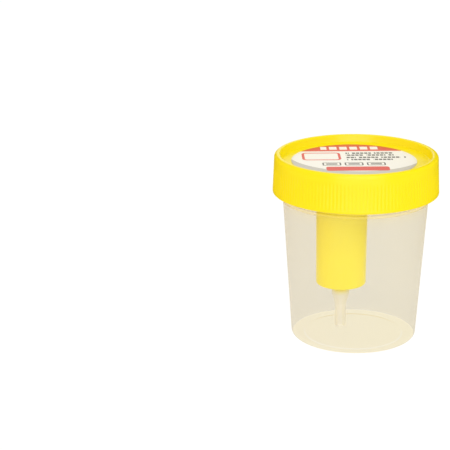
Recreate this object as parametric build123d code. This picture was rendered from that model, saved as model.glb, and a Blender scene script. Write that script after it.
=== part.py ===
"""Specimen container of nominally 120 ml, with a screw cap that holds a vacuum tube.

A translucent cup is closed by a ribbed screw cap. The cap is one moulding: its skirt, rim, sunk panel and plug
seal carry an off-centre well, which takes a vacuum sample tube pushed in from above. A needle stands in the
well under a rubber sleeve, a suction tube hangs from the spigot under it, and a round label seals its mouth.

Millimetres, +Z up. The origin is the centre of the cup's base, and the well is on the -Y side.
"""

from build123d import *
from math import cos, pi, sin
import os

# --- Cup -------------------------------------------------------------------------------------------------------
cup_height = 69.8          # table to the rim that the cap seals on
base_radius = 24.6         # outer wall, carried down to the table
neck_radius = 28.45        # outer wall of the straight neck
cup_wall = 1.1
floor_thickness = 1.2
foot_recess = 0.5          # the base is sunk by this much inside its foot ring
foot_width = 3.0
base_round = 1.9
inside_round = 1.4
rim_bevel = 0.35
stop_ring_height = 1.2     # the ring that shows just under the cap
stop_ring_proud = 0.6
stop_ring_gap = 1.6        # from the top of the ring to the lower edge of the skirt

# --- Screw cap -------------------------------------------------------------------------------------------------
skirt_height = 15.1        # lower edge of the skirt to the top of the rim
skirt_wall = 2.0           # at the lower edge, over the ribs
skirt_taper = 0.65         # the skirt is this much smaller in radius at the top
thread_room = 2.05         # radial space between neck and skirt, for the thread
panel_thickness = 1.4
rim_height = 2.9           # rim above the sunk panel
rim_width = 2.3            # across the top of the rim
rim_slope = 0.8            # inward lean of the rim's inner side
plug_clearance = 0.2       # between the plug seal and the mouth of the cup
plug_wall = 1.1
plug_depth = 3.6
rib_count = 140
rib_depth = 0.35
rib_land = 0.3             # plain width of a rib at its crest, between two grooves
skirt_band = 1.0           # plain band under the ribs
shoulder_band = 3.3        # plain band over the ribs, down from the top of the rim

# --- Tube well, one moulding with the cap ------------------------------------------------------------------------
well_bore_radius = 8.7     # at the mouth: passes a 16 mm sample tube
well_taper = 0.35          # the well is this much smaller in radius at its floor
well_wall = 1.3
well_length = 45.5         # top of the panel to the underside of the well
well_floor = 1.4
well_gap = 1.1             # between the well and the inside of the cup, where they come closest
post_radius = 2.0          # stub on the well floor that carries the rubber sleeve
post_height = 3.0
spigot_radius = 2.5        # stub under the well that carries the suction tube
spigot_length = 3.5

# --- Needle, sleeve, suction tube and label ----------------------------------------------------------------------
needle_radius = 0.6
needle_bore_radius = 0.4
needle_reach = 13.0        # above the post
needle_seat = 3.0          # length held below the well floor's underside
needle_bevel = 2.4         # length of the slant at the tip
bond_gap = 0.03            # radial space that adhesive or grip fills between two seated pieces
sleeve_wall = 0.8
sleeve_tip = 1.5           # rubber over the needle's tip
needle_head_room = 0.8     # air between the needle's tip and the rubber
socket_wall = 0.87         # suction tube, round the spigot
socket_length = 4.0
socket_cone = 4.6
suction_radius = 2.1
suction_bore_radius = 1.3
suction_clearance = 6.3    # end of the suction tube to the cup's floor
label_radius = 24.4
label_thickness = 0.15
label_shift = (-0.7, -0.4) # the label is stuck on slightly off the panel's centre

# --- Heights and radii that follow ---------------------------------------------------------------------------------
floor_top = foot_recess + floor_thickness
panel_under = cup_height
panel_top = panel_under + panel_thickness
rim_top = panel_top + rim_height
skirt_bottom = rim_top - skirt_height
ring_top = skirt_bottom - stop_ring_gap
ring_bottom = ring_top - stop_ring_height

mouth_radius = neck_radius - cup_wall
skirt_inside = neck_radius + thread_room
cap_radius = skirt_inside + skirt_wall
cap_top_radius = cap_radius - skirt_taper
plug_radius = mouth_radius - plug_clearance

well_radius = well_bore_radius + well_wall
well_bottom = panel_top - well_length
well_floor_top = well_bottom + well_floor
well_bottom_radius = well_radius - well_taper
spigot_bottom = well_bottom - spigot_length
post_top = well_floor_top + post_height
needle_tip = post_top + needle_reach
needle_hole = needle_radius + bond_gap


def cup_outside(height):
    """Outer radius of the cup's tapered wall at a height."""
    return base_radius + (neck_radius - base_radius) * height / ring_bottom


well_offset = cup_outside(well_bottom) - cup_wall - well_gap - well_bottom_radius
well_place = Pos(0, -well_offset, 0)


def turned(outline, rounds=(), bevels=()):
    """Turns a closed outline of (radius, height) points about Z, after rounding and bevelling the named corners."""
    section = make_face(Polyline(*outline, close=True))
    for corner, radius in rounds:
        section = fillet(section.vertices().sort_by_distance(corner)[0], radius)
    for corner, length in bevels:
        section = chamfer(section.vertices().sort_by_distance(corner)[0], length)
    return revolve(Plane.XZ * section, Axis.Z)


def make_cup():
    """The cup: foot ring, tapered wall, stop ring and straight neck."""
    foot_outer = (base_radius, 0)
    foot_inner = (base_radius - base_round - foot_width, 0)
    ring_radius = neck_radius + stop_ring_proud
    ring_low = (ring_radius, ring_bottom)
    ring_high = (ring_radius, ring_top)
    rim_outer = (neck_radius, cup_height)
    rim_inner = (mouth_radius, cup_height)
    floor_corner = (cup_outside(floor_top) - cup_wall, floor_top)
    outline = [
        (0, foot_recess),
        (foot_inner[0] - foot_recess, foot_recess),
        foot_inner,
        foot_outer,
        (neck_radius, ring_bottom),
        ring_low,
        ring_high,
        (neck_radius, ring_top),
        rim_outer,
        rim_inner,
        (mouth_radius, ring_bottom),
        floor_corner,
        (0, floor_top),
    ]
    ring_bevel = 0.4 * min(stop_ring_proud, stop_ring_height)
    rounds = [(foot_outer, base_round), (floor_corner, inside_round)]
    bevels = [(ring_low, ring_bevel), (ring_high, ring_bevel), (rim_outer, rim_bevel), (rim_inner, rim_bevel)]
    return turned(outline, rounds, bevels)


def make_cap_shell():
    """Skirt, rim, sunk panel and plug seal, without ribs or well."""
    plug_lead = plug_wall / 2
    rim_outer = (cap_top_radius, rim_top)
    rim_inner = (cap_top_radius - rim_width, rim_top)
    rim_foot = (rim_inner[0] - rim_slope, panel_top)
    skirt_lip = (cap_radius, skirt_bottom)
    outline = [
        (0, panel_under),
        (plug_radius - plug_wall, panel_under),
        (plug_radius - plug_wall, panel_under - plug_depth),
        (plug_radius - plug_lead, panel_under - plug_depth),
        (plug_radius, panel_under - plug_depth + plug_lead),
        (plug_radius, panel_under),
        (skirt_inside, panel_under),
        (skirt_inside, skirt_bottom),
        skirt_lip,
        rim_outer,
        rim_inner,
        rim_foot,
        (0, panel_top),
    ]
    rounds = [
        (skirt_lip, 0.4),
        (rim_outer, 0.6 * rim_width),
        (rim_inner, 0.35 * rim_width),
        (rim_foot, 0.5),
    ]
    return turned(outline, rounds)


def make_well():
    """The tube well, with its sleeve post inside and its spigot underneath, about its own axis."""
    bottom_corner = (well_bottom_radius, well_bottom)
    floor_corner = (well_bottom_radius - well_wall, well_floor_top)
    spigot_corner = (spigot_radius, spigot_bottom)
    outline = [
        (needle_hole, spigot_bottom),
        spigot_corner,
        (spigot_radius, well_bottom),
        bottom_corner,
        (well_radius, panel_top),
        (well_bore_radius, panel_top),
        floor_corner,
        (post_radius, well_floor_top),
        (post_radius, post_top),
        (needle_hole, post_top),
    ]
    rounds = [(bottom_corner, 0.6 * well_wall), (floor_corner, 0.6 * well_wall)]
    return turned(outline, rounds, [(spigot_corner, 0.4)])


def skirt_surface(height):
    """Outer radius of the plain skirt at a height."""
    return cap_radius - skirt_taper * (height - skirt_bottom) / skirt_height


def rib_section(height):
    """Toothed outline of the ribs at a height: crests that stand past the skirt, and sharp groove roots."""
    root = skirt_surface(height) - rib_depth
    pitch = 2 * pi / rib_count
    half_groove = pitch / 2 - rib_land / 2 / cap_radius
    overshoot = skirt_surface(height) + rib_depth * (pitch / 2 / half_groove - 1)
    turns = [(overshoot, i * pitch) for i in range(rib_count)]
    roots = [(root, (i + 0.5) * pitch) for i in range(rib_count)]
    points = [(r * cos(a), r * sin(a)) for pair in zip(turns, roots) for r, a in pair]
    return Pos(0, 0, height) * make_face(Polyline(*points, close=True))


def make_rib_cutter():
    """Ring that leaves the finger ribs standing when it is cut from the skirt."""
    low = skirt_bottom + skirt_band
    high = rim_top - shoulder_band
    ribs = loft([rib_section(low), rib_section(high)], ruled=True)
    ring = Pos(0, 0, (low + high) / 2) * Cylinder(cap_radius + 2, high - low)
    return ring - ribs


def make_screw_cap():
    """The cap as it is moulded, in one piece."""
    mouth = Pos(0, -well_offset, (panel_under + panel_top) / 2) * Cylinder(well_bore_radius, panel_thickness)
    cap = make_cap_shell() - mouth
    cap = cap + well_place * make_well()
    return cap - make_rib_cutter()


def make_needle():
    """Hollow steel needle with a slanted tip, held in the post and the spigot."""
    bottom = well_bottom - needle_seat
    length = needle_tip - bottom
    tube = Cylinder(needle_radius, length) - Cylinder(needle_bore_radius, length)
    slant = make_face(
        Polyline(
            (-needle_radius, needle_tip),
            (needle_radius, needle_tip - needle_bevel),
            (needle_radius + 1, needle_tip - needle_bevel),
            (needle_radius + 1, needle_tip + 1),
            (-needle_radius, needle_tip + 1),
            close=True,
        )
    )
    tip_cutter = extrude(Plane.YZ * slant, 2 * needle_radius, both=True)
    return well_place * (Pos(0, 0, bottom + length / 2) * tube - tip_cutter)


def make_needle_sleeve():
    """Rubber sleeve that grips the post and closes over the needle."""
    grip_radius = post_radius + bond_gap
    body_bore = needle_radius + sleeve_wall
    body_radius = body_bore + sleeve_wall
    cavity_top = needle_tip + needle_head_room
    crown = (body_radius, cavity_top + sleeve_tip)
    outline = [
        (grip_radius, well_floor_top),
        (grip_radius + sleeve_wall, well_floor_top),
        (grip_radius + sleeve_wall, post_top),
        (body_radius, post_top + sleeve_wall),
        crown,
        (0, cavity_top + sleeve_tip),
        (0, cavity_top),
        (body_bore, cavity_top),
        (body_bore, post_top),
        (grip_radius, post_top),
    ]
    return well_place * turned(outline, [(crown, 0.6 * body_radius)])


def make_suction_tube():
    """Suction tube: a socket over the spigot, a cone, and a straight stem down to just over the cup's floor."""
    socket_bore = spigot_radius + bond_gap
    socket_bottom = well_bottom - socket_length
    stem_top = socket_bottom - socket_cone
    stem_bottom = floor_top + suction_clearance
    outline = [
        (socket_bore, well_bottom),
        (socket_bore + socket_wall, well_bottom),
        (socket_bore + socket_wall, socket_bottom),
        (suction_radius, stem_top),
        (suction_radius, stem_bottom),
        (suction_bore_radius, stem_bottom),
        (suction_bore_radius, stem_top),
        (socket_bore, socket_bottom),
    ]
    return well_place * turned(outline)


def make_peel_label():
    """Round film label, stuck on the sunk panel over the mouth of the well."""
    middle = panel_top + label_thickness / 2
    return Pos(label_shift[0], label_shift[1], middle) * Cylinder(label_radius, label_thickness)


pieces = {
    "cup": make_cup(),
    "screw_cap": make_screw_cap(),
    "needle": make_needle(),
    "needle_sleeve": make_needle_sleeve(),
    "suction_tube": make_suction_tube(),
    "peel_label": make_peel_label(),
}

os.makedirs("parts", exist_ok=True)
for name, piece in pieces.items():
    export_step(piece, f"parts/{name}.step")
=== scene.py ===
"""Looks of a specimen container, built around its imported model.

A hazy polypropylene cup is closed by a ribbed yellow screw cap. The cap is one moulding with a well for a sample
tube, which shows through the cup's wall with the suction tube under it. A sleeved needle stands inside the well, and
a round printed label lies on the cap's sunk panel.

Sizes are in millimetres, as on a maker's drawing, and MM turns them into the metres of the meshes. +Z is up, the
origin is the centre of the cup's base, and the well is on the -Y side.
"""

import cmath
import logging
import math
from collections.abc import Callable, Iterable, Sequence
from dataclasses import dataclass, replace
from enum import Enum
from functools import cached_property

import bpy
from mathutils import Matrix, Vector


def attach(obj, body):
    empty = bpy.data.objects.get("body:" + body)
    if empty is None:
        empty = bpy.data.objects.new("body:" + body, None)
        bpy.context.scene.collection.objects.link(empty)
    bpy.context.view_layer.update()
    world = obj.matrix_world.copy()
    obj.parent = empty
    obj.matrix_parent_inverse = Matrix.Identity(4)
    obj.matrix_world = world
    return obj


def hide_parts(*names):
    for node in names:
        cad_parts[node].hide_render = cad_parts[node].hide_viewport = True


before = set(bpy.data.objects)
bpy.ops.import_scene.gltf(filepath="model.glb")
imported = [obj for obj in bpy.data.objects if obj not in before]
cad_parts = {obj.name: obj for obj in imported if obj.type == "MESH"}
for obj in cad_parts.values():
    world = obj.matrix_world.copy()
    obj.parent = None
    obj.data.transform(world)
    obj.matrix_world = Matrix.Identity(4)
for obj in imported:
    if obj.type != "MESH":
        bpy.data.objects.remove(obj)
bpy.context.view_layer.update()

MM = 0.001
PLASTIC_IOR = 1.49
WHITE = (1.0, 1.0, 1.0)

# Sizes that two pieces share, or a piece and its finish.
WELL_AXIS = (0.0, -14.5105)
WELL_BOTTOM = 25.7
WELL_FLOOR = 27.1
POST_TOP = 30.1
BASE_RADIUS = 24.6
NECK_RADIUS = 28.45
RING_LOW = 56.2
RING_HIGH = 57.4
CUP_TOP = 69.8
PANEL_TOP = 71.2
LABEL_CENTRE = (-0.7, -0.4)

log = logging.getLogger("specimen_container")

Point = tuple[float, float]
Colour = tuple[float, float, float]


class Body(Enum):
    """The container's two moving bodies."""

    CUP = "cup_body"
    CAP = "cap_body"


# --- Node trees ---


def maths(operation: str, swapped: bool = False) -> "Callable[..., Wire]":
    """Makes a method of Wire that adds one Math node.

    Args:
        operation: The node's operation.
        swapped: Whether the wire comes after the other value, as in 1 - wire.

    Returns:
        The method.
    """

    def method(wire: "Wire", *others: "Wire | float") -> "Wire":
        """Adds the node and returns its result."""
        values = (*others, wire) if swapped else (wire, *others)
        return wire.nodes.add("ShaderNodeMath", dict(enumerate(values)), operation=operation)

    return method


class Wire:
    """An output socket whose arithmetic adds Math nodes to its tree. A comparison gives 1 where it holds, else 0."""

    __add__ = __radd__ = maths("ADD")
    __mul__ = __rmul__ = maths("MULTIPLY")
    __sub__, __rsub__ = maths("SUBTRACT"), maths("SUBTRACT", swapped=True)
    __truediv__, __rtruediv__ = maths("DIVIDE"), maths("DIVIDE", swapped=True)
    __pow__, __rpow__ = maths("POWER"), maths("POWER", swapped=True)
    __lt__, __gt__ = maths("LESS_THAN"), maths("GREATER_THAN")
    __abs__ = maths("ABSOLUTE")
    at_least, at_most = maths("MAXIMUM"), maths("MINIMUM")
    floor, rounded, fraction = maths("FLOOR"), maths("ROUND"), maths("FRACT")
    sine, cosine, root = maths("SINE"), maths("COSINE"), maths("SQRT")

    def __init__(self, nodes: "Nodes", socket: bpy.types.NodeSocket | None) -> None:
        """Keeps the socket and the tree it belongs to."""
        self.nodes = nodes
        self.socket = socket

    def unit(self) -> "Wire":
        """self held between 0 and 1."""
        return self.at_least(0.0).at_most(1.0)

    def ramp(self, start: float, end: float) -> "Wire":
        """0 up to a start and 1 from an end, with an even slope between them."""
        return ((self - start) / (end - start)).unit()


Amount = Wire | float
Paint = Wire | Colour


class Nodes:
    """A node tree, and the one way in which nodes are added to it."""

    def __init__(self, tree: bpy.types.NodeTree) -> None:
        """Starts from an empty tree."""
        self.tree = tree
        tree.nodes.clear()

    def add(self, kind: str, inputs: dict | None = None, output: str | int = 0, **settings: object) -> Wire:
        """Adds a node.

        Args:
            kind: The node's type.
            inputs: Values or wires for its sockets, by name or number. A colour has three parts.
            output: The output that is wanted.
            settings: Its own properties, which are set before any socket.

        Returns:
            That output as a wire.
        """
        node = self.tree.nodes.new(kind)
        for name, value in settings.items():
            setattr(node, name, value)
        for name, value in (inputs or {}).items():
            socket = node.inputs[name]
            if isinstance(value, Wire):
                self.tree.links.new(value.socket, socket)
            else:
                socket.default_value = (*value, 1.0) if socket.type == "RGBA" else value
        return Wire(self, node.outputs[output] if node.outputs else None)

    def also(self, wire: Wire, output: str | int) -> Wire:
        """Another output of the node that a wire comes from."""
        return Wire(self, wire.socket.node.outputs[output])

    def mix(self, share: Amount, first: Paint, second: Paint) -> Wire:
        """Blends two colours, which are the node's sockets 6 and 7: a share of 0 is the first."""
        return self.add("ShaderNodeMix", {0: share, 6: first, 7: second}, 2, data_type="RGBA")

    def blend_shaders(self, share: Amount, first: Wire, second: Wire) -> Wire:
        """Mixes two shaders: a share of 0 is the first."""
        return self.add("ShaderNodeMixShader", {0: share, 1: first, 2: second})

    def split(self, vector: Wire) -> tuple[Wire, Wire, Wire]:
        """The three parts of a vector."""
        x = self.add("ShaderNodeSeparateXYZ", {0: vector})
        return x, self.also(x, 1), self.also(x, 2)

    @cached_property
    def place(self) -> Wire:
        """The point on the piece, in metres."""
        return self.add("ShaderNodeTexCoord", None, "Object")

    def from_axis(self, axis: Point = (0.0, 0.0)) -> tuple[Wire, Wire]:
        """Distance from an upright axis, and height, in millimetres."""
        x, y, z = (part / MM for part in self.split(self.place))
        return length(x - axis[0], y - axis[1]), z


def length(x: Wire, y: Wire) -> Wire:
    """Length of a vector with two parts."""
    return (x * x + y * y).root()


def seen_rays(nodes: Nodes) -> Wire:
    """1 for rays from the camera, in reflections and through clear plastic.

    Args:
        nodes: The tree to add to.

    Returns:
        1 for those rays, else 0.
    """
    camera = nodes.add("ShaderNodeLightPath", None, "Is Camera Ray")
    glossy = nodes.also(camera, "Is Glossy Ray")
    through = nodes.also(camera, "Is Transmission Ray")
    return camera.at_least(glossy).at_least(through)


# --- Materials ---


@dataclass(frozen=True)
class Grain:
    """Smooth noise on a piece.

    Attributes:
        scale: Patches in a metre, roughly.
        detail: Finer layers on top.
        upright: Scale along Z before the noise: less than 1 draws it out into streaks.
    """

    scale: float
    detail: float = 2.0
    upright: float = 1.0

    def read(self, nodes: Nodes) -> Wire:
        """The noise, between 0 and 1."""
        drawn = nodes.add("ShaderNodeVectorMath", {0: nodes.place, 1: (1.0, 1.0, self.upright)}, operation="MULTIPLY")
        return nodes.add("ShaderNodeTexNoise", {"Vector": drawn, "Scale": self.scale, "Detail": self.detail})


@dataclass(frozen=True)
class Finish:
    """What all finishes share.

    Attributes:
        name: Name of the material.
        roughness: Its least roughness.
        roughness_spread: How much rougher it gets in places.
        relief: Strength of its bump.
        relief_depth: What the bump stands for, in millimetres.
    """

    name: str
    roughness: float = 0.27
    roughness_spread: float = 0.1
    relief: float = 0.3
    relief_depth: float = 0.04

    def material(self) -> bpy.types.Material:
        """Builds the material.

        Returns:
            The material.
        """
        material = bpy.data.materials.new(self.name)
        material.use_nodes = True
        nodes = Nodes(material.node_tree)
        nodes.add("ShaderNodeOutputMaterial", {"Surface": self.surface(nodes)})
        return material

    def surface(self, nodes: Nodes) -> Wire:
        """The shader of the surface."""
        raise NotImplementedError

    def dressed(self, nodes: Nodes, colour: Paint, uneven: Wire, height: Wire, more: dict | None = None) -> Wire:
        """Principled shader with the roughness and the relief of this finish.

        Args:
            nodes: The tree.
            colour: Its colour.
            uneven: Noise that makes it rougher in places.
            height: Noise that its bump follows.
            more: Values of other sockets.

        Returns:
            The shader.
        """
        bump = {"Strength": self.relief, "Distance": self.relief_depth * MM, "Height": height}
        inputs = {
            "Base Color": colour,
            "Roughness": uneven * self.roughness_spread + self.roughness,
            "Normal": nodes.add("ShaderNodeBump", bump),
        }
        return nodes.add("ShaderNodeBsdfPrincipled", inputs | (more or {}))


@dataclass(frozen=True)
class YellowMoulding(Finish):
    """Bright yellow polypropylene, semi-gloss, with painted shade in its rib grooves and painted light on its well.
    """

    name: str = "yellow_polypropylene"
    roughness: float = 0.24
    relief: float = 0.35
    relief_depth: float = 0.06
    colour: Colour = (0.905, 0.755, 0.001)
    deep: Colour = (0.895, 0.67, 0.001)
    # Painted light: the well's lighter colour, as if it took light on both sides.
    lit_well: Colour = (1.0, 0.865, 0.003)
    sheen: Colour = (1.0, 0.97, 0.9)
    # Share of the deeper colour painted into the rib grooves as shade.
    groove_shade_share: float = 0.05
    flow_share: float = 0.3
    grain_share: float = 0.35
    # Heights over which the well's painted light fades out going up, in the cap's shade, and its reach from the
    # well's axis.
    lit_well_from: float = 38.0
    lit_well_to: float = 60.0
    lit_well_reach: float = 12.0
    flow: Grain = Grain(45, 3, 0.35)
    grain: Grain = Grain(5200)
    ripple: Grain = Grain(160, 1, 0.5)

    def surface(self, nodes: Nodes) -> Wire:
        """Colour with faint flow marks, painted groove shade, painted well light and the fine grain of the mould.

        Args:
            nodes: The material's tree.

        Returns:
            The shader.
        """
        flow = self.flow.read(nodes)
        groove = nodes.add("ShaderNodeAttribute", None, "Fac", attribute_name="groove")
        # Painted shade: the rib grooves take a share of the deeper colour, mixed with the real flow marks.
        depth = (groove * self.groove_shade_share + (flow - 0.5) * self.flow_share).unit()
        # The well takes the lighter colour as painted light.
        colour = nodes.mix(self.painted_well_light(nodes), nodes.mix(depth, self.colour, self.deep), self.lit_well)
        ripple = self.ripple.read(nodes) * (1 - self.grain_share)
        height = self.grain.read(nodes) * self.grain_share + ripple
        return self.dressed(nodes, colour, flow, height, {"IOR": PLASTIC_IOR, "Specular Tint": self.sheen})

    def painted_well_light(self, nodes: Nodes) -> Wire:
        """Painted light: 1 low on the well, which takes light on both sides, fading to 0 in the cap's shade; 0 on the
        rest of the cap.
        """
        away, z = nodes.from_axis(WELL_AXIS)
        return z.ramp(self.lit_well_to, self.lit_well_from) * (away < self.lit_well_reach)


@dataclass(frozen=True)
class HazyPlastic(Finish):
    """Natural polyolefin: clear enough to see through, with a milky haze.

    A surface lets a tinted share of the view through, and the rest is haze. Light for other surfaces passes freely,
    because haze scatters it onwards.
    """

    tint: Colour = (0.892, 0.862, 0.825)
    haze_colour: Colour = (0.80, 0.78, 0.50)
    haze: float = 0.165
    haze_spread: float = 0.03
    floor_tint: Colour = (1.0, 0.94, 0.76)
    floor_haze: float = 0.35
    edge_tint: Colour = (0.88, 0.84, 0.79)
    edge_haze: float = 0.08
    edge_power: float = 4.0
    # Painted light: between these heights the haze turns this yellow, as light from the yellow cap.
    glow: Colour = (1.0, 0.82, 0.22)
    glow_from: float = 50.0
    glow_to: float = 57.0
    cloud: Grain = Grain(60, 3, 0.4)
    grain: Grain = Grain(3800)

    def surface(self, nodes: Nodes) -> Wire:
        """Tinted see-through surface under a satin haze.

        Args:
            nodes: The material's tree.

        Returns:
            The shader.
        """
        cloud = self.cloud.read(nodes)
        colour = self.milk_with_cap_light(nodes)
        milk = self.dressed(nodes, colour, cloud, self.grain.read(nodes), {"IOR": PLASTIC_IOR})
        clear, tinted, floor_tinted, edge_tinted = (
            nodes.add("ShaderNodeBsdfTransparent", {"Color": tint})
            for tint in (WHITE, self.tint, self.floor_tint, self.edge_tint)
        )
        wall, floor = self.shares(nodes)
        edge = nodes.add("ShaderNodeLayerWeight", None, "Facing") ** self.edge_power
        seen = nodes.blend_shaders(floor, clear, floor_tinted)
        seen = nodes.blend_shaders(wall, seen, nodes.blend_shaders(edge, tinted, edge_tinted))
        haze = ((cloud - 0.5) * self.haze_spread + self.haze) * (floor * self.floor_haze + wall)
        haze = haze + self.extra_haze(nodes) + edge * wall * self.edge_haze
        surface = nodes.blend_shaders(haze.unit(), seen, milk)
        lamp_ray = nodes.add("ShaderNodeLightPath", None, "Is Shadow Ray")
        bounced = nodes.also(lamp_ray, "Is Diffuse Ray")
        return nodes.blend_shaders(lamp_ray.at_least(bounced), surface, clear)

    def shares(self, nodes: Nodes) -> tuple[Amount, Amount]:
        """How much of the wall's and of the floor's tint and haze the surface carries."""
        return 1.0, 0.0

    def milk_with_cap_light(self, nodes: Nodes) -> Wire:
        """Milky below, painted yellower towards the cap as light from it."""
        share = nodes.from_axis()[1].ramp(self.glow_from, self.glow_to)
        return nodes.mix(share * share, self.haze_colour, self.glow)

    def extra_haze(self, nodes: Nodes) -> Amount:
        """More haze where a piece is thicker."""
        return 0.0


@dataclass(frozen=True)
class CupPlastic(HazyPlastic):
    """The cup's polypropylene. Its stop ring is thicker and milkier, and its neck's haze is painted yellow as light
    from the cap.

    Attributes:
        margin: How far the ring's haze reaches past its faces, so that each face lies wholly in it.
        half_wall: Half the wall, to tell its outside from its inside.
        ring_inside: Radius between the neck's outside and the ring's.
        shoulder_inside: Radius between the two sides of the wall's top.
        heel_high: Height under which a face is the underside's.
        floor_middle: Height between the floor's two faces.
        step_inside: Radius just outside the recess.
        step_outside: Radius just inside the foot ring.
    """

    margin: float = 0.1
    half_wall: float = 0.55
    ring_inside: float = 28.6
    ring_haze: float = 0.27
    gap_high: float = 60.5
    # Haze on the neck under the cap's edge, there as painted light.
    gap_light_haze: float = 0.35
    shoulder_low: float = 50.0
    shoulder_inside: float = 27.6
    shoulder_haze: float = 0.1
    heel_high: float = 0.45
    floor_middle: float = 1.1
    step_inside: float = 19.25
    step_outside: float = 19.65
    foot_share: float = 0.85
    step_share: float = 0.5

    def shares(self, nodes: Nodes) -> tuple[Wire, Wire]:
        """The outside carries all of a wall's tint, so that the wall isn't pale at its outline.

        The underside carries the floor's, with less of it on the step between the recess and the foot ring.

        Args:
            nodes: The material's tree.

        Returns:
            The wall's share and the floor's share.
        """
        away, z = nodes.from_axis()
        slope = (NECK_RADIUS - BASE_RADIUS) / RING_LOW
        middle = (z * slope + (BASE_RADIUS - self.half_wall)).at_most(NECK_RADIUS - self.half_wall)
        low = z < self.heel_high
        under = z < self.floor_middle
        wall = (away > middle) * (1 - low)
        flat = (away < self.step_inside) * under + (away > self.step_outside) * low
        step = (away > self.step_inside) * (away < self.step_outside) * under
        return wall, flat * self.foot_share + step * self.step_share

    def extra_haze(self, nodes: Nodes) -> Wire:
        """Milky stop ring, with less haze on the neck above it and on the wall below it.

        Args:
            nodes: The material's tree.

        Returns:
            The share of haze to add.
        """
        away, z = nodes.from_axis()
        low, high = RING_LOW - self.margin, RING_HIGH + self.margin
        ring = (z > low) * (z < high) * (away > self.ring_inside)
        # Painted light: haze on the neck under the cap's edge carries the painted cap light into the shade there.
        gap = (z > high) * (away > NECK_RADIUS - self.half_wall) * z.ramp(self.gap_high, high)
        rise = z.ramp(self.shoulder_low, low)
        shoulder = (z < low) * (away > self.shoulder_inside) * rise * rise
        return ring * self.ring_haze + gap * self.gap_light_haze + shoulder * self.shoulder_haze


@dataclass(frozen=True)
class GreyRubber(Finish):
    """Matt grey rubber of the needle's sleeve."""

    name: str = "grey_rubber"
    roughness: float = 0.6
    roughness_spread: float = 0.2
    relief: float = 0.4
    relief_depth: float = 0.05
    colour: Colour = (0.42, 0.40, 0.37)
    dusted: Colour = (0.58, 0.57, 0.54)
    dust_from: float = 0.3125
    dust_to: float = 0.9375
    talc: Grain = Grain(900, 4)

    def surface(self, nodes: Nodes) -> Wire:
        """Grey with a dusting of talc.

        Args:
            nodes: The material's tree.

        Returns:
            The shader.
        """
        talc = self.talc.read(nodes)
        dust = talc.ramp(self.dust_from, self.dust_to)
        return self.dressed(nodes, nodes.mix(dust, self.colour, self.dusted), talc, talc)


@dataclass(frozen=True)
class DrawnSteel(Finish):
    """Stainless steel tube with fine marks along its length."""

    name: str = "drawn_steel"
    roughness: float = 0.18
    roughness_spread: float = 0.2
    relief_depth: float = 0.01
    colour: Colour = (0.62, 0.62, 0.64)
    bright: Colour = (0.74, 0.74, 0.76)
    marks: Grain = Grain(9000, 2, 0.02)

    def surface(self, nodes: Nodes) -> Wire:
        """Metal, rougher along its drawing marks."""
        marks = self.marks.read(nodes)
        return self.dressed(nodes, nodes.mix(marks, self.colour, self.bright), marks, marks, {"Metallic": 1.0})


@dataclass(frozen=True)
class Patch:
    """A rectangle on the label, in millimetres: its middle, half its sides, and the radius of its corners."""

    middle: Point
    half: Point
    round: float = 0.0

    def edge(self, u: Wire, v: Wire) -> Wire:
        """Distance to its rounded outline.

        Args:
            u: Distance to the right of the print's middle.
            v: Distance up from it.

        Returns:
            The distance, negative inside.
        """
        across = (abs(u - self.middle[0]) - (self.half[0] - self.round)).at_least(0.0)
        along = (abs(v - self.middle[1]) - (self.half[1] - self.round)).at_least(0.0)
        return length(across, along) - self.round

    def filled(self, u: Wire, v: Wire) -> Wire:
        """The whole rectangle.

        Args:
            u: Distance to the right of the print's middle.
            v: Distance up from it.

        Returns:
            1 inside it, else 0.
        """
        if self.round:
            return self.edge(u, v) < 0.0
        return (abs(u - self.middle[0]) < self.half[0]) * (abs(v - self.middle[1]) < self.half[1])

    def framed(self, u: Wire, v: Wire, line: float) -> Wire:
        """1 on a line of a width inside its outline."""
        return (abs(self.edge(u, v) + line / 2) - line / 2) < 0.0


@dataclass(frozen=True)
class Dashes:
    """Dashes along rows: how many in a millimetre, each row's shift, and how much of a step is printed."""

    density: float
    shift: float
    share: float

    def on(self, u: Wire, row: int) -> Wire:
        """1 on the dashes of a row."""
        return (u * self.density + self.shift * row).fraction() < self.share


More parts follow.
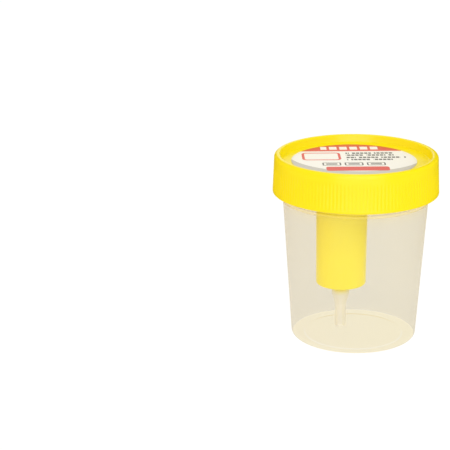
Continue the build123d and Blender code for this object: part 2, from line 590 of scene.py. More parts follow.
@dataclass(frozen=True)
class PrintedFilm(Finish):
    """White label film with plain printed fields. Its pattern is in millimetres from the label's centre.

    Attributes:
        turn: How far the print is turned, in degrees.
        margin_centre: Centre of the circle that the grey margin lies outside.
        rows: Height and right-hand end of each row of dashes.
    """

    name: str = "printed_label_film"
    roughness: float = 0.32
    roughness_spread: float = 0.12
    relief: float = 0.35
    relief_depth: float = 0.12
    turn: float = 25.4
    paper: Colour = (0.88, 0.875, 0.84)
    red: Colour = (0.70, 0.06, 0.035)
    grey: Colour = (0.55, 0.54, 0.50)
    ink: Colour = (0.07, 0.065, 0.06)
    margin_centre: Point = (1.7, 11.5)
    margin_radius: float = 27.5
    segment_from: float = 13.8
    title: Patch = Patch((-0.3, 18.4), (11.8, 2.2))
    blocks: Dashes = Dashes(0.245, 0.1, 0.74)
    bar: Patch = Patch((0.6, -12.2), (12.1, 2.9), 1.2)
    blank: Patch = Patch((-12.4, 6.0), (7.6, 5.6), 2.0)
    blank_line: float = 1.0
    rows: Sequence[Point] = ((10.6, 17.2), (7.6, 16.2), (4.2, 20.6), (1.0, 16.4))
    row_start: float = -2.6
    row_half: float = 0.95
    strokes: Dashes = Dashes(0.62, 0.31, 0.8)
    groups: Dashes = Dashes(0.115, 0.37, 0.86)
    frames: Sequence[Patch] = tuple(Patch((x, -5.4), (3.6, 2.1), 0.6) for x in (-9.0, -0.4, 8.2))
    frame_line: float = 0.55
    cores: Sequence[Patch] = tuple(Patch((x, -5.4), (2.16, 0.9), 0.2) for x in (-9.0, -0.4, 8.2))
    core_share: float = 0.8
    satin: Grain = Grain(700)
    ripple: Grain = Grain(110)

    def surface(self, nodes: Nodes) -> Wire:
        """Paper white under a grey margin, a red segment, a red bar, a blank frame and rows of dashes.

        Args:
            nodes: The material's tree.

        Returns:
            The shader.
        """
        u, v = self._print_place(nodes)
        layers = (
            (length(u - self.margin_centre[0], v - self.margin_centre[1]) > self.margin_radius, self.grey),
            (v > self.segment_from, self.red),
            (self.title.filled(u, v) * self.blocks.on(u, 1), self.paper),
            (self.bar.filled(u, v), self.red),
            (self.blank.framed(u, v, self.blank_line), self.red),
            (self._dashed(u, v), self.ink),
        )
        colour: Paint = self.paper
        for share, paint in layers:
            colour = nodes.mix(share, colour, paint)
        return self.dressed(nodes, colour, self.satin.read(nodes), self.ripple.read(nodes))

    def _print_place(self, nodes: Nodes) -> tuple[Wire, Wire]:
        """Where a point lies on the print. One node takes off the centre before the other turns and scales.

        Args:
            nodes: The material's tree.

        Returns:
            The distances to the right of the print's middle and up from it.
        """
        off = {"Vector": nodes.place, "Location": (-LABEL_CENTRE[0] * MM, -LABEL_CENTRE[1] * MM, 0.0)}
        centred = nodes.add("ShaderNodeMapping", off)
        turn = {"Vector": centred, "Rotation": (0.0, 0.0, -math.radians(self.turn)), "Scale": (1 / MM,) * 3}
        u, v, _ = nodes.split(nodes.add("ShaderNodeMapping", turn))
        return u, v

    def _dashed(self, u: Wire, v: Wire) -> Wire:
        """Rows of small dashes, and one row of larger frames.

        Args:
            u: Distance to the right of the print's middle.
            v: Distance up from it.

        Returns:
            1 where there is full ink.
        """
        total: Amount = 0.0
        for row, (height, end) in enumerate(self.rows):
            half = (end - self.row_start) / 2
            inside = Patch((self.row_start + half, height), (half, self.row_half)).filled(u, v)
            total = inside * self.strokes.on(u, row) * self.groups.on(u, row) + total
        for border, core in zip(self.frames, self.cores):
            total = border.framed(u, v, self.frame_line) + core.filled(u, v) * self.core_share + total
        return total.unit()


@dataclass(frozen=True)
class StudioFloor(Finish):
    """White floor: plain white to the camera and in reflections, but it still takes the object's shadow."""

    name: str = "studio_floor"
    white: Colour = (0.93, 0.93, 0.93)
    glow_share: float = 0.90
    glow: float = 1.05

    def surface(self, nodes: Nodes) -> Wire:
        """Diffuse white, with a glow that only seen rays meet.

        Args:
            nodes: The material's tree.

        Returns:
            The shader.
        """
        white = nodes.add("ShaderNodeBsdfDiffuse", {"Color": self.white})
        glow = nodes.add("ShaderNodeEmission", {"Color": WHITE, "Strength": self.glow})
        return nodes.blend_shaders(seen_rays(nodes) * self.glow_share, white, glow)


@dataclass(frozen=True)
class BoardPaint(Finish):
    """A plain colour with its own light."""

    colour: Colour = WHITE

    def surface(self, nodes: Nodes) -> Wire:
        """An even glow."""
        return nodes.add("ShaderNodeEmission", {"Color": self.colour, "Strength": 1.0})


# --- Outlines ---


@dataclass(frozen=True)
class Station:
    """One circle of a turned piece, and a corner of its outline, in millimetres.

    Attributes:
        radius: Radius of the circle.
        height: Height of the circle.
        round: Radius that rounds the corner.
        steps: How many steps the round has.
        centre: Where its axis stands, in x and y.
        ribs: Share of the full rib depth here.
        thread: Height of the thread here, negative inwards.
    """

    radius: float
    height: float
    round: float = 0.0
    steps: int = 0
    centre: Point = (0.0, 0.0)
    ribs: float = 0.0
    thread: float = 0.0


def profile(*rows: Sequence[float], **more: object) -> list[Station]:
    """Stations from rows of radius, height and, for a rounded corner, its radius and steps; all share the rest."""
    return [Station(*row, **more) for row in rows]


def round_corners(corners: Sequence[Station], closed: bool) -> list[Station]:
    """Puts an arc of stations in the place of each rounded corner.

    Args:
        corners: The outline, down its outer side.
        closed: Whether the outline ends where it starts.

    Returns:
        The stations; a closed outline's first one comes again at its end.
    """
    rounded: list[Station] = []
    for i, corner in enumerate(corners):
        if not corner.round:
            rounded.append(corner)
            continue
        near = (corner, corners[i - 1], corners[(i + 1) % len(corners)])
        here, before, after = (complex(station.radius, station.height) for station in near)
        back, on = (before - here) / abs(before - here), (after - here) / abs(after - here)
        half = abs(cmath.phase(on / back)) / 2
        centre = here + (back + on) / abs(back + on) * corner.round / math.sin(half)
        first, last = (here + way * corner.round / math.tan(half) - centre for way in (back, on))
        for step in range(corner.steps + 1):
            at = centre + first * cmath.rect(1.0, cmath.phase(last / first) * step / corner.steps)
            rounded.append(replace(corner, radius=at.real, height=at.imag))
    return rounded + rounded[:1] if closed else rounded


def levels(start: float, end: float, count: int) -> list[float]:
    """count heights from start to end, both included."""
    return [start + (end - start) * i / (count - 1) for i in range(count)]


def add_object(name: str, data: bpy.types.ID) -> bpy.types.Object:
    """Adds an object to the scene.

    Args:
        name: Its name.
        data: Its mesh, lamp or camera.

    Returns:
        The object.
    """
    added = bpy.data.objects.new(name, data)
    bpy.context.scene.collection.objects.link(added)
    return added


# --- Turned pieces ---


@dataclass(frozen=True)
class Helix:
    """A right-handed thread ridge, in millimetres.

    Attributes:
        start: Height of the ridge's middle where it begins, at +X.
        pitch: Rise in one turn.
        turns: How far it runs.
        width: Width at its root.
        crest: Width at its crest.
        taper: Share of a turn over which it dies away at each end.
    """

    start: float = 60.6
    pitch: float = 4.2
    turns: float = 1.5
    width: float = 1.9
    crest: float = 0.7
    taper: float = 0.06


@dataclass(frozen=True)
class RibRow:
    """Finger ribs: how many there are, and how deep their grooves go, in millimetres."""

    count: int = 140
    depth: float = 0.2


class Lathe:
    """The Geometry Nodes tree that turns a chain of stations into a closed mesh, with its ribs and its thread."""

    INPUTS = {
        "Stations": "Geometry",
        "Segments": "Int",
        "Rib Count": "Int",
        "Rib Depth": "Float",
        "Thread Start": "Float",
        "Thread Pitch": "Float",
        "Thread Turns": "Float",
        "Thread Width": "Float",
        "Thread Crest": "Float",
        "Thread Taper": "Float",
        "Sharp Angle": "Float",
        "Material": "Material",
    }
    WELD = 0.0004 * MM
    SHARP = math.radians(42.0)

    def __init__(self) -> None:
        """Builds the tree once, for all turned pieces."""
        self.tree = bpy.data.node_groups.new("lathe", "GeometryNodeTree")
        self.identifiers: dict[str, str] = {}
        for name, kind in self.INPUTS.items():
            item = self.tree.interface.new_socket(name=name, in_out="INPUT", socket_type=f"NodeSocket{kind}")
            self.identifiers[name] = item.identifier
        self.tree.interface.new_socket(name="Piece", in_out="OUTPUT", socket_type="NodeSocketGeometry")
        self._wire(Nodes(self.tree))

    def _wire(self, nodes: Nodes) -> None:
        """Adds the nodes: a grid of stations by segments, moved to its place on the piece.

        Args:
            nodes: The empty tree.
        """
        group = nodes.add("NodeGroupInput")
        given = {name: nodes.also(group, name) for name in self.INPUTS}
        stations, columns = given["Stations"], given["Segments"] + 1
        count = nodes.add("GeometryNodeAttributeDomainSize", {0: stations}, "Point Count")
        size = {"Size X": 1.0, "Size Y": 1.0, "Vertices X": count, "Vertices Y": columns}
        grid = nodes.add("GeometryNodeMeshGrid", size, "Mesh")
        index = nodes.add("GeometryNodeInputIndex")
        station = (index / columns).floor()
        angle = (index - station * columns) / given["Segments"] * (2 * math.pi)

        place = nodes.add("GeometryNodeInputPosition")
        radius, _, height = nodes.split(self._sample(nodes, stations, place, station, "FLOAT_VECTOR"))
        centre = self._sample(nodes, stations, "centre", station, "FLOAT_VECTOR")
        ribs, thread = (self._sample(nodes, stations, name, station, "FLOAT") for name in ("ribs", "thread"))

        groove = ribs * (1 - abs((angle * given["Rib Count"] / 2).sine()))
        reach = radius - groove * given["Rib Depth"] + thread * self._ridge(given, angle, height)
        spoke = nodes.add("ShaderNodeCombineXYZ", {0: reach * angle.cosine(), 1: reach * angle.sine(), 2: height})
        point = nodes.add("ShaderNodeVectorMath", {0: spoke, 1: centre}, operation="ADD")

        mark = {"Geometry": grid, "Name": "groove", "Value": groove}
        marked = nodes.add("GeometryNodeStoreNamedAttribute", mark, data_type="FLOAT", domain="POINT")
        moved = nodes.add("GeometryNodeSetPosition", {"Geometry": marked, "Position": point})
        closed = nodes.add("GeometryNodeMergeByDistance", {"Geometry": moved, "Distance": self.WELD})
        bend = nodes.add("GeometryNodeInputMeshEdgeAngle", None, "Unsigned Angle")
        limit = {0: bend, 1: given["Sharp Angle"]}
        blunt = nodes.add("FunctionNodeCompare", limit, data_type="FLOAT", operation="LESS_THAN")
        shaded = closed
        for domain, smooth in (("FACE", True), ("EDGE", blunt)):
            shade = {"Geometry": shaded, "Shade Smooth": smooth}
            shaded = nodes.add("GeometryNodeSetShadeSmooth", shade, domain=domain)
        real = nodes.add("GeometryNodeRealizeInstances", {"Geometry": shaded})
        dressed = nodes.add("GeometryNodeSetMaterial", {"Geometry": real, "Material": given["Material"]})
        nodes.add("NodeGroupOutput", {"Piece": dressed})

    @staticmethod
    def _sample(nodes: Nodes, stations: Wire, value: Wire | str, index: Wire, kind: str) -> Wire:
        """Reads a field of the stations at an index.

        Args:
            nodes: The tree.
            stations: The station geometry.
            value: A field, or the name of an attribute.
            index: The station's number.
            kind: The field's data type.

        Returns:
            The value at that station.
        """
        if isinstance(value, str):
            value = nodes.add("GeometryNodeInputNamedAttribute", {"Name": value}, "Attribute", data_type=kind)
        inputs = {"Geometry": stations, "Value": value, "Index": index}
        return nodes.add("GeometryNodeSampleIndex", inputs, "Value", data_type=kind, domain="POINT")

    @staticmethod
    def _ridge(given: dict[str, Wire], angle: Wire, height: Wire) -> Wire:
        """Share of the thread's height at a point: a trapezoid along the helix, tapered at both ends.

        Args:
            given: The tree's inputs.
            angle: Angle round the axis.
            height: Height of the point.

        Returns:
            The share.
        """
        around = angle / (2 * math.pi)
        rise = (height - given["Thread Start"]) / given["Thread Pitch"] - around
        turn = rise.rounded()
        away = abs(rise - turn) * given["Thread Pitch"]
        flank = (given["Thread Width"] - given["Thread Crest"]) / 2
        ridge = ((given["Thread Width"] / 2 - away) / flank).unit()
        along = around + turn
        return ridge * (along.at_most(given["Thread Turns"] - along) / given["Thread Taper"]).unit()

    def turn(
        self,
        name: str,
        stations: Sequence[Station],
        material: bpy.types.Material,
        segments: int,
        ribs: RibRow,
        helix: Helix,
    ) -> bpy.types.Object:
        """Turns stations into a piece.

        Args:
            name: The piece's name.
            stations: Its outline, down the outer side.
            material: Its material.
            segments: Steps round each circle.
            ribs: Its finger ribs, where its stations have any.
            helix: Its thread, where its stations have one.

        Returns:
            The piece as a plain mesh object at the origin.
        """
        carrier = add_object(f"{name}_stations", self._station_mesh(name, stations))
        modifier = carrier.modifiers.new("lathe", "NODES")
        modifier.node_group = self.tree
        values = {
            "Segments": segments,
            "Rib Count": ribs.count,
            "Rib Depth": ribs.depth * MM,
            "Thread Start": helix.start * MM,
            "Thread Pitch": helix.pitch * MM,
            "Thread Turns": helix.turns,
            "Thread Width": helix.width * MM,
            "Thread Crest": helix.crest * MM,
            "Thread Taper": helix.taper,
            "Sharp Angle": self.SHARP,
            "Material": material,
        }
        for title, value in values.items():
            modifier[self.identifiers[title]] = value
        depsgraph = bpy.context.evaluated_depsgraph_get()
        mesh = bpy.data.meshes.new_from_object(carrier.evaluated_get(depsgraph), depsgraph=depsgraph)
        carrier.modifiers.remove(modifier)
        bpy.data.objects.remove(carrier)
        mesh.name = name
        mesh.materials.clear()
        mesh.materials.append(material)
        mesh.polygons.foreach_set("material_index", [0] * len(mesh.polygons))
        return add_object(name, mesh)

    @staticmethod
    def _station_mesh(name: str, stations: Sequence[Station]) -> bpy.types.Mesh:
        """The chain of stations as loose vertices in metres, with their attributes.

        Args:
            name: The piece's name.
            stations: Its stations.

        Returns:
            The mesh.
        """
        mesh = bpy.data.meshes.new(f"{name}_stations")
        mesh.from_pydata([(s.radius * MM, 0.0, s.height * MM) for s in stations], [], [])
        centre = mesh.attributes.new("centre", "FLOAT_VECTOR", "POINT")
        centre.data.foreach_set("vector", [c for s in stations for c in (s.centre[0] * MM, s.centre[1] * MM, 0.0)])
        for title, values in (("ribs", [s.ribs for s in stations]), ("thread", [s.thread * MM for s in stations])):
            mesh.attributes.new(title, "FLOAT", "POINT").data.foreach_set("value", values)
        return mesh


@dataclass
class TurnedPiece:
    """A piece that is turned in one, and dressed in one finish.

    Attributes:
        title: Its name.
        body: The body it moves with.
        slot: The record's material slot; not used.
        node: The CAD node that it stands for.
        segments: Steps round each circle.
        finish: Its finish.
        closed: Whether its outline ends where it starts.
        ribs: Its finger ribs, where its stations have any.
        helix: Its thread, where its stations have one.
    """

    title: str
    body: Body
    slot: str
    node: str
    segments: int
    finish: Finish
    closed: bool = False
    ribs: RibRow = RibRow()
    helix: Helix = Helix()

    def outline(self) -> list[Station]:
        """Its corners, down its outer side."""
        raise NotImplementedError

    def build(self, lathe: Lathe) -> None:
        """Turns the piece, dresses it and puts it on its body.

        Args:
            lathe: The tree that turns it.
        """
        stations = round_corners(self.outline(), self.closed)
        piece = lathe.turn(self.title, stations, self.finish.material(), self.segments, self.ribs, self.helix)
        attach(piece, self.body.value)
        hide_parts(self.node)
        log.info("%s: %d faces, on %s, for %s", piece.name, len(piece.data.polygons), self.body.value, self.node)


# --- The container ---


@dataclass
class Cup(TurnedPiece):
    """The cup: foot ring, drafted wall, stop ring and threaded neck."""

    title: str = "cup_moulding"
    body: Body = Body.CUP
    slot: str = "cup_plastic"
    node: str = "cup"
    segments: int = 288
    finish: Finish = CupPlastic("natural_polypropylene")
    mouth_radius: float = 27.35
    lip_inside: float = 0.3
    lip_outside: float = 0.35
    neck_bend: float = 4.0
    ring_proud: float = 0.6
    ring_round: float = 0.24
    ring_root: float = 0.15
    floor_top: float = 1.7
    floor_radius: float = 23.616
    floor_round: float = 1.4
    heel_round: float = 1.9
    foot_inner: float = 19.7
    foot_recess: float = 0.5
    foot_round: float = 0.3
    thread_low: float = 58.2
    thread_high: float = 68.9
    thread_circles: int = 44
    thread_height: float = 0.9

    def outline(self) -> list[Station]:
        """Corners from the middle of the floor up the inside, over the rim and down the outside.

        Returns:
            The corners, in order.
        """
        ring, recess = NECK_RADIUS + self.ring_proud, self.foot_inner - self.foot_recess
        inside = profile(
            (0.0, self.floor_top),
            (self.floor_radius / 2, self.floor_top),
            (self.floor_radius, self.floor_top, self.floor_round, 6),
            (self.mouth_radius, RING_LOW, self.neck_bend, 3),
            (self.mouth_radius, CUP_TOP, self.lip_inside, 3),
            (NECK_RADIUS, CUP_TOP, self.lip_outside, 3),
        )
        circles = levels(self.thread_high, self.thread_low, self.thread_circles)
        threaded = profile(*((NECK_RADIUS, z) for z in circles), thread=self.thread_height)
        outside = profile(
            (NECK_RADIUS, RING_HIGH, self.ring_root, 2),
            (ring, RING_HIGH, self.ring_round, 3),
            (ring, RING_LOW, self.ring_round, 3),
            (NECK_RADIUS, RING_LOW, self.ring_root, 2),
            (BASE_RADIUS, 0.0, self.heel_round, 7),
            (self.foot_inner, 0.0, self.foot_round, 2),
            (recess, self.foot_recess, self.foot_round, 2),
            (0.0, self.foot_recess),
        )
        return inside + threaded + outside


@dataclass
class ScrewCap(TurnedPiece):
    """The cap as one moulding: skirt with finger ribs, rim, sunk panel, plug seal, tube well, post and spigot.

    The panel's underside rests on the cup's top. A land is a ring of flat face that is kept next to a rounded corner.
    Each circle has five steps to a rib, which keeps the ribs' grooves alike.
    """

    title: str = "cap_moulding"
    body: Body = Body.CAP
    slot: str = "cap_plastic"
    node: str = "screw_cap"
    segments: int = 5 * RibRow.count
    finish: Finish = YellowMoulding()
    closed: bool = True
    helix: Helix = Helix(start=62.7)
    skirt_bottom: float = 59.0
    rim_top: float = 74.1
    radius: float = 32.5
    top_radius: float = 31.85
    skirt_inside: float = 30.5
    skirt_edge: float = 0.4
    skirt_lip: float = 0.3
    skirt_root: float = 0.4
    panel_rings: int = 4
    rim_foot: float = 28.75
    rim_inner: float = 29.55
    rim_root: float = 0.5
    rim_land: float = 0.9
    rim_round_inside: float = 0.805
    rim_round_outside: float = 1.38
    plug_radius: float = 27.15
    plug_wall: float = 1.1
    plug_bottom: float = 66.2
    plug_round: float = 0.3
    plug_tip: float = 0.2
    plug_land: float = 0.5
    rib_low: float = 60.0
    rib_high: float = 70.8
    rib_fade_low: float = 0.6
    rib_fade_high: float = 1.8
    rib_fade_share: float = 0.35
    thread_low: float = 60.2
    thread_high: float = 69.0
    thread_circles: int = 36
    thread_height: float = 0.95
    well_bore: float = 8.7
    well_taper: float = 0.35
    well_wall: float = 1.3
    well_round: float = 0.78
    well_root: float = 0.4
    well_land: float = 0.7
    mouth_round: float = 0.35
    mouth_land: float = 0.6
    post_radius: float = 2.0
    post_round: float = 0.25
    post_root: float = 0.2
    spigot_radius: float = 2.5
    spigot_bottom: float = 22.2
    spigot_round: float = 0.4
    spigot_root: float = 0.25
    needle_hole: float = 0.63

    def skirt_radius(self, height: float) -> float:
        """Outer radius of the plain skirt at a height."""
        share = (height - self.skirt_bottom) / (self.rim_top - self.skirt_bottom)
        return self.radius + (self.top_radius - self.radius) * share

    def panel(self, a: Station, b: Station) -> list[Station]:
        """Circles between two others, in step with both, for a flat face with a hole off its centre.

        Args:
            a: The first circle.
            b: The last circle.

        Returns:
            The circles between them.
        """
        rings: list[Station] = []
        for step in range(1, self.panel_rings):
            t = step / self.panel_rings
            row = (a.radius + (b.radius - a.radius) * t, a.height + (b.height - a.height) * t)
            rings += profile(row, centre=tuple(p + (q - p) * t for p, q in zip(a.centre, b.centre)))
        return rings

    def bore(self) -> list[Station]:
        """Needle hole, sleeve post and bore of the well, from the bottom up.

        Returns:
            The corners, in order.
        """
        return profile(
            (self.needle_hole, self.spigot_bottom),
            (self.needle_hole, POST_TOP),
            (self.post_radius, POST_TOP, self.post_round, 2),
            (self.post_radius, WELL_FLOOR, self.post_root, 2),
            (self.well_bore - self.well_taper, WELL_FLOOR, self.well_round, 4),
            (self.well_bore, PANEL_TOP, self.mouth_round, 3),
            (self.well_bore + self.mouth_land, PANEL_TOP),
            centre=WELL_AXIS,
        )

    def shell(self) -> list[Station]:
        """Rim, ribbed skirt, threaded inside and plug seal, from the panel's top round to its underside.

        Returns:
            The corners, in order.
        """
        ribbed = (
            (self.rib_high, 0.0),
            (self.rib_high - self.rib_fade_high / 2, self.rib_fade_share),
            (self.rib_high - self.rib_fade_high, 1.0),
            (self.rib_low + self.rib_fade_low, 1.0),
            (self.rib_low, 0.0),
        )
        circles = levels(self.thread_low, self.thread_high, self.thread_circles)
        plug, lead = self.plug_radius - self.plug_wall, self.plug_wall / 2
        rim = profile(
            (self.rim_foot - self.rim_land, PANEL_TOP),
            (self.rim_foot, PANEL_TOP, self.rim_root, 4),
            (self.rim_inner, self.rim_top, self.rim_round_inside, 5),
            (self.top_radius, self.rim_top, self.rim_round_outside, 7),
        )
        skirt = [ring for z, share in ribbed for ring in profile((self.skirt_radius(z), z), ribs=share)]
        edge = profile(
            (self.radius, self.skirt_bottom, self.skirt_edge, 3),
            (self.skirt_inside, self.skirt_bottom, self.skirt_lip, 2),
        )
        threaded = profile(*((self.skirt_inside, z) for z in circles), thread=-self.thread_height)
        seal = profile(
            (self.skirt_inside, CUP_TOP, self.skirt_root, 2),
            (self.plug_radius, CUP_TOP),
            (self.plug_radius, self.plug_bottom + lead, self.plug_round, 2),
            (self.plug_radius - lead, self.plug_bottom),
            (plug, self.plug_bottom, self.plug_tip, 2),
            (plug, CUP_TOP, self.plug_round, 2),
            (plug - self.plug_land, CUP_TOP),
        )
        return rim + skirt + edge + threaded + seal

    def well(self) -> list[Station]:
        """Outside of the well and its spigot, from the panel's underside down.

        Returns:
            The corners, in order.
        """
        outer = self.well_bore + self.well_wall
        share = (CUP_TOP - WELL_BOTTOM) / (PANEL_TOP - WELL_BOTTOM)
        top = outer - self.well_taper * (1 - share)
        return profile(
            (top + self.well_land, CUP_TOP),
            (top, CUP_TOP, self.well_root, 3),
            (outer - self.well_taper, WELL_BOTTOM, self.well_round, 5),
            (self.spigot_radius, WELL_BOTTOM, self.spigot_root, 2),
            (self.spigot_radius, self.spigot_bottom, self.spigot_round, 3),
            centre=WELL_AXIS,
        )

    def outline(self) -> list[Station]:
        """The whole closed outline, down its outer side.

        Returns:
            The corners, in order.
        """
        bore, shell, well = self.bore(), self.shell(), self.well()
        top, under = self.panel(bore[-1], shell[0]), self.panel(shell[-1], well[0])
        return bore + top + shell + under + well


@dataclass
class NeedleAndSleeve(TurnedPiece):
    """Steel needle in the well's floor, with the rubber sleeve that closes over it."""

    title: str = "rubber_sleeve"
    body: Body = Body.CAP
    slot: str = "sleeve_rubber"
    node: str = "needle_sleeve"
    segments: int = 64
    finish: Finish = GreyRubber()
    steel: Finish = DrawnSteel()
    grip_bore: float = 2.03
    grip_radius: float = 2.83
    body_bore: float = 1.4
    body_radius: float = 2.2
    cavity_top: float = 43.9
    top: float = 45.4
    crown_round: float = 1.32
    cavity_round: float = 0.8
    shoulder_round: float = 0.3
    foot_round: float = 0.25

    def outline(self) -> list[Station]:
        """Corners of the sleeve, over its crown, down the outside and up the cavity.

        Returns:
            The corners, in order.
        """
        wall = self.body_radius - self.body_bore
        return profile(
            (0.0, self.top),
            (self.body_radius, self.top, self.crown_round, 6),
            (self.body_radius, POST_TOP + wall, self.shoulder_round, 3),
            (self.grip_radius, POST_TOP, self.shoulder_round, 3),
            (self.grip_radius, WELL_FLOOR, self.foot_round, 3),
            (self.grip_bore, WELL_FLOOR),
            (self.grip_bore, POST_TOP),
            (self.body_bore, POST_TOP),
            (self.body_bore, self.cavity_top, self.cavity_round, 4),
            (0.0, self.cavity_top),
            centre=WELL_AXIS,
        )

    def build(self, lathe: Lathe) -> None:
        """Turns the sleeve and gives the needle its steel.

        Args:
            lathe: The tree that turns the sleeve.
        """
        super().build(lathe)
        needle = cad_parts["needle"]
        steel = self.steel.material()
        for place in needle.material_slots:
            place.material = steel
        log.info("needle: steel on the packed part")


@dataclass
class SuctionTube(TurnedPiece):
    """Suction tube under the well: flared socket, cone and stem."""

    title: str = "suction_tube_moulding"
    body: Body = Body.CAP
    slot: str = "tube_plastic"
    node: str = "suction_tube"
    segments: int = 72
    finish: Finish = HazyPlastic(
        "natural_polyethylene",
        tint=(0.99, 0.985, 0.97),
        haze_colour=(1.0, 0.97, 0.91),
        haze=0.5,
        haze_spread=0.06,
        edge_haze=0.0,
        # Painted light: the tube's haze turns yellow round the cap's spigot, as light from it.
        glow=(1.0, 0.84, 0.02),
        glow_from=20.5,
        glow_to=23.5,
    )
    closed: bool = True
    socket_bore: float = 2.53
    socket_radius: float = 3.4
    socket_bottom: float = 21.7
    socket_round: float = 1.0
    socket_bend: float = 0.6
    cone_bottom: float = 17.1
    cone_round: float = 2.0
    cone_bend: float = 1.5
    stem_bore: float = 1.3
    stem_radius: float = 2.1
    bottom: float = 8.0
    edge_round: float = 0.2
    bore_round: float = 0.15

    def outline(self) -> list[Station]:
        """Corners down the outside and up the bore.

        Returns:
            The corners, in order.
        """
        return profile(
            (self.socket_bore, WELL_BOTTOM, self.edge_round, 2),
            (self.socket_radius, WELL_BOTTOM, self.edge_round, 2),
            (self.socket_radius, self.socket_bottom, self.socket_round, 3),
            (self.stem_radius, self.cone_bottom, self.cone_round, 4),
            (self.stem_radius, self.bottom, self.edge_round, 2),
            (self.stem_bore, self.bottom, self.bore_round, 2),
            (self.stem_bore, self.cone_bottom, self.cone_bend, 3),
            (self.socket_bore, self.socket_bottom, self.socket_bend, 3),
            centre=WELL_AXIS,
        )


@dataclass
class PeelLabel(TurnedPiece):
    """Round label on the sunk panel, over the mouth of the well."""

    title: str = "label_disc"
    body: Body = Body.CAP
    slot: str = "label_film"
    node: str = "peel_label"
    segments: int = 192
    finish: Finish = PrintedFilm()
    radius: float = 24.4
    top: float = 71.35
    edge_round: float = 0.05
    rings: Sequence[float] = (0.0, 0.35, 0.7, 0.94)

    def outline(self) -> list[Station]:
        """Corners from the middle of the print out to the edge and back underneath.

        Returns:
            The corners, in order.
        """
        return profile(
            *((self.radius * share, self.top) for share in self.rings),
            (self.radius, self.top, self.edge_round, 2),
            (self.radius, PANEL_TOP),
            (0.0, PANEL_TOP),
            centre=LABEL_CENTRE,
        )


# --- Studio ---


def sheet(name: str, points: Sequence[Sequence[float]], finish: Finish) -> bpy.types.Object:
    """Adds a flat sheet with four corners and a finish.

    Args:
        name: Its name.
        points: Its four corners, in metres.
        finish: Its finish.

    Returns:
        The sheet.
    """
    mesh = bpy.data.meshes.new(name)
    mesh.from_pydata(points, [], [(0, 1, 2, 3)])
    mesh.materials.append(finish.material())
    return add_object(name, mesh)


@dataclass(frozen=True)
class SoftLight:
    """A square softbox that faces the container.

    Attributes:
        name: Its name.
        place: Where it hangs, in metres.
        side: Its size in metres.
        power: Its power in watts.
        colour: The colour of its light.
        aim: The point that it faces, in metres.
    """

    name: str
    place: tuple[float, float, float]
    side: float
    power: float
    colour: Colour = WHITE
    aim: tuple[float, float, float] = (0.0, 0.0, 0.04)

    def hang(self) -> None:
        """Adds the lamp to the scene."""
        lamp = bpy.data.lights.new(self.name, "AREA")
        lamp.shape, lamp.size = "SQUARE", self.side
        lamp.energy, lamp.color = self.power, self.colour
        carrier = add_object(self.name, lamp)
        carrier.rotation_euler = (Vector(self.aim) - Vector(self.place)).to_track_quat("-Z", "Y").to_euler()
        carrier.location = self.place


@dataclass(frozen=True)
class Flag:
    """A warm board beside the container that only reflections see: it keeps the sides of glossy plastic deep.

    Attributes:
        name: Its name.
        side: How far it stands to the camera's right of the container, in metres.
        shade: Its colour.
        front: Where it starts, in metres behind the container's axis.
        back: Where it ends.
        height: Its height in metres.
    """

    name: str
    side: float
    shade: Colour
    front: float = -0.12
    back: float = 0.35
    height: float = 1.2

    def stand(self, heading: float) -> None:
        """Adds the board, square to the camera's heading.

        Args:
            heading: The camera's heading in degrees.
        """
        turn = Matrix.Rotation(math.radians(heading), 3, "Z")
        low, high = 0.0, self.height
        outline = ((self.front, low), (self.back, low), (self.back, high), (self.front, high))
        points = [turn @ Vector((self.side, along, up)) for along, up in outline]
        board = sheet(self.name, points, BoardPaint(self.name, colour=self.shade))
        board.visible_camera = board.visible_diffuse = board.visible_shadow = board.visible_transmission = False


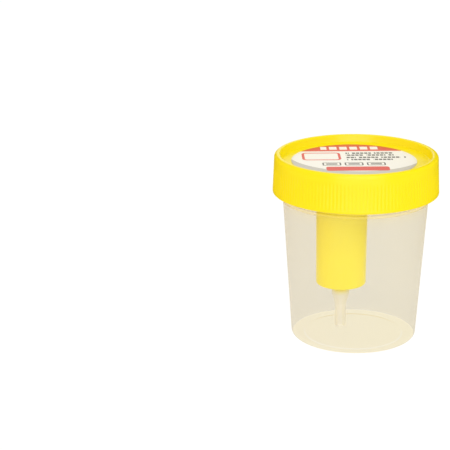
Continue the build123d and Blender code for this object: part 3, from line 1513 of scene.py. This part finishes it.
@dataclass
class Studio:
    """White floor, white surroundings, soft lights and the camera.

    Attributes:
        camera_place: Where the camera stands, in millimetres. It is turned by heading, pitch and roll, in degrees.
        lens: Its focal length and film its width, in millimetres. It sees nothing nearer or farther than sight.
        floor_side: The floor's size in metres, and floor_level is its height in millimetres.
        ambient: Strength of the surroundings as light on the object.
    """

    camera_place: tuple[float, float, float] = (211.69, -565.17, 234.59)
    heading: float = 25.4
    pitch: float = 17.475
    roll: float = -0.405
    lens: float = 128.0
    film: float = 36.0
    sight: Point = (0.01, 50.0)
    floor_side: float = 12.0
    floor_level: float = -0.02
    ambient: float = 0.68
    floor: StudioFloor = StudioFloor()
    lights: Sequence[SoftLight] = (
        SoftLight("overhead", (0.1, -0.2, 1.8), 1.6, 8.4, (1.0, 0.99, 0.97)),
        SoftLight("front", (0.40, -0.92, 0.40), 1.0, 3.9),
        SoftLight("left_side", (-1.0, -0.6, 0.45), 1.0, 3.4, (1.0, 0.58, 0.02)),
        SoftLight("right_side", (1.0, 0.25, 0.45), 1.0, 3.2, (1.0, 0.84, 0.05)),
    )
    flags: Sequence[Flag] = (
        Flag("board_left", -0.07, (0.4, 0.22, 0.02)),
        Flag("board_right", 0.07, (0.4, 0.26, 0.02)),
    )

    def build(self) -> None:
        """Adds all of it to the scene."""
        self._place_camera()
        self._lay_floor()
        self._paint_world()
        for light in self.lights:
            light.hang()
        for flag in self.flags:
            flag.stand(self.heading)

    def _place_camera(self) -> None:
        """Camera with a heading from +Y towards -X, a downward pitch and a slight roll."""
        lens = bpy.data.cameras.new("studio_camera")
        lens.lens, lens.sensor_width, lens.sensor_fit = self.lens, self.film, "AUTO"
        lens.clip_start, lens.clip_end = self.sight
        camera = add_object("studio_camera", lens)
        turns = ((self.heading, "Z"), (90.0 - self.pitch, "X"), (self.roll, "Z"))
        turn, tilt, lean = (Matrix.Rotation(math.radians(angle), 4, axis) for angle, axis in turns)
        camera.matrix_world = Matrix.Translation([c * MM for c in self.camera_place]) @ turn @ tilt @ lean
        bpy.context.scene.camera = camera

    def _lay_floor(self) -> None:
        """One large square under the cup."""
        half, level = self.floor_side / 2, self.floor_level * MM
        points = [(x, y, level) for x, y in ((-half, -half), (half, -half), (half, half), (-half, half))]
        floor = sheet("studio_floor", points, self.floor)

    def _paint_world(self) -> None:
        """White where it is seen, and dimmer as light on the object."""
        world = bpy.data.worlds.new("studio_world")
        world.use_nodes = True
        nodes = Nodes(world.node_tree)
        strength = seen_rays(nodes) * (1 - self.ambient) + self.ambient
        sky = nodes.add("ShaderNodeBackground", {"Color": WHITE, "Strength": strength})
        nodes.add("ShaderNodeOutputWorld", {"Surface": sky})
        bpy.context.scene.world = world


def main() -> None:
    """Builds the container piece by piece, then the studio around it."""
    logging.basicConfig(level=logging.INFO, format="%(name)s %(message)s")
    bpy.context.scene.view_settings.view_transform = "Standard"
    Studio().build()
    lathe = Lathe()
    for assembly in (Cup(), ScrewCap(), NeedleAndSleeve(), SuctionTube(), PeelLabel()):
        assembly.build(lathe)


if __name__ == "__main__":
    main()
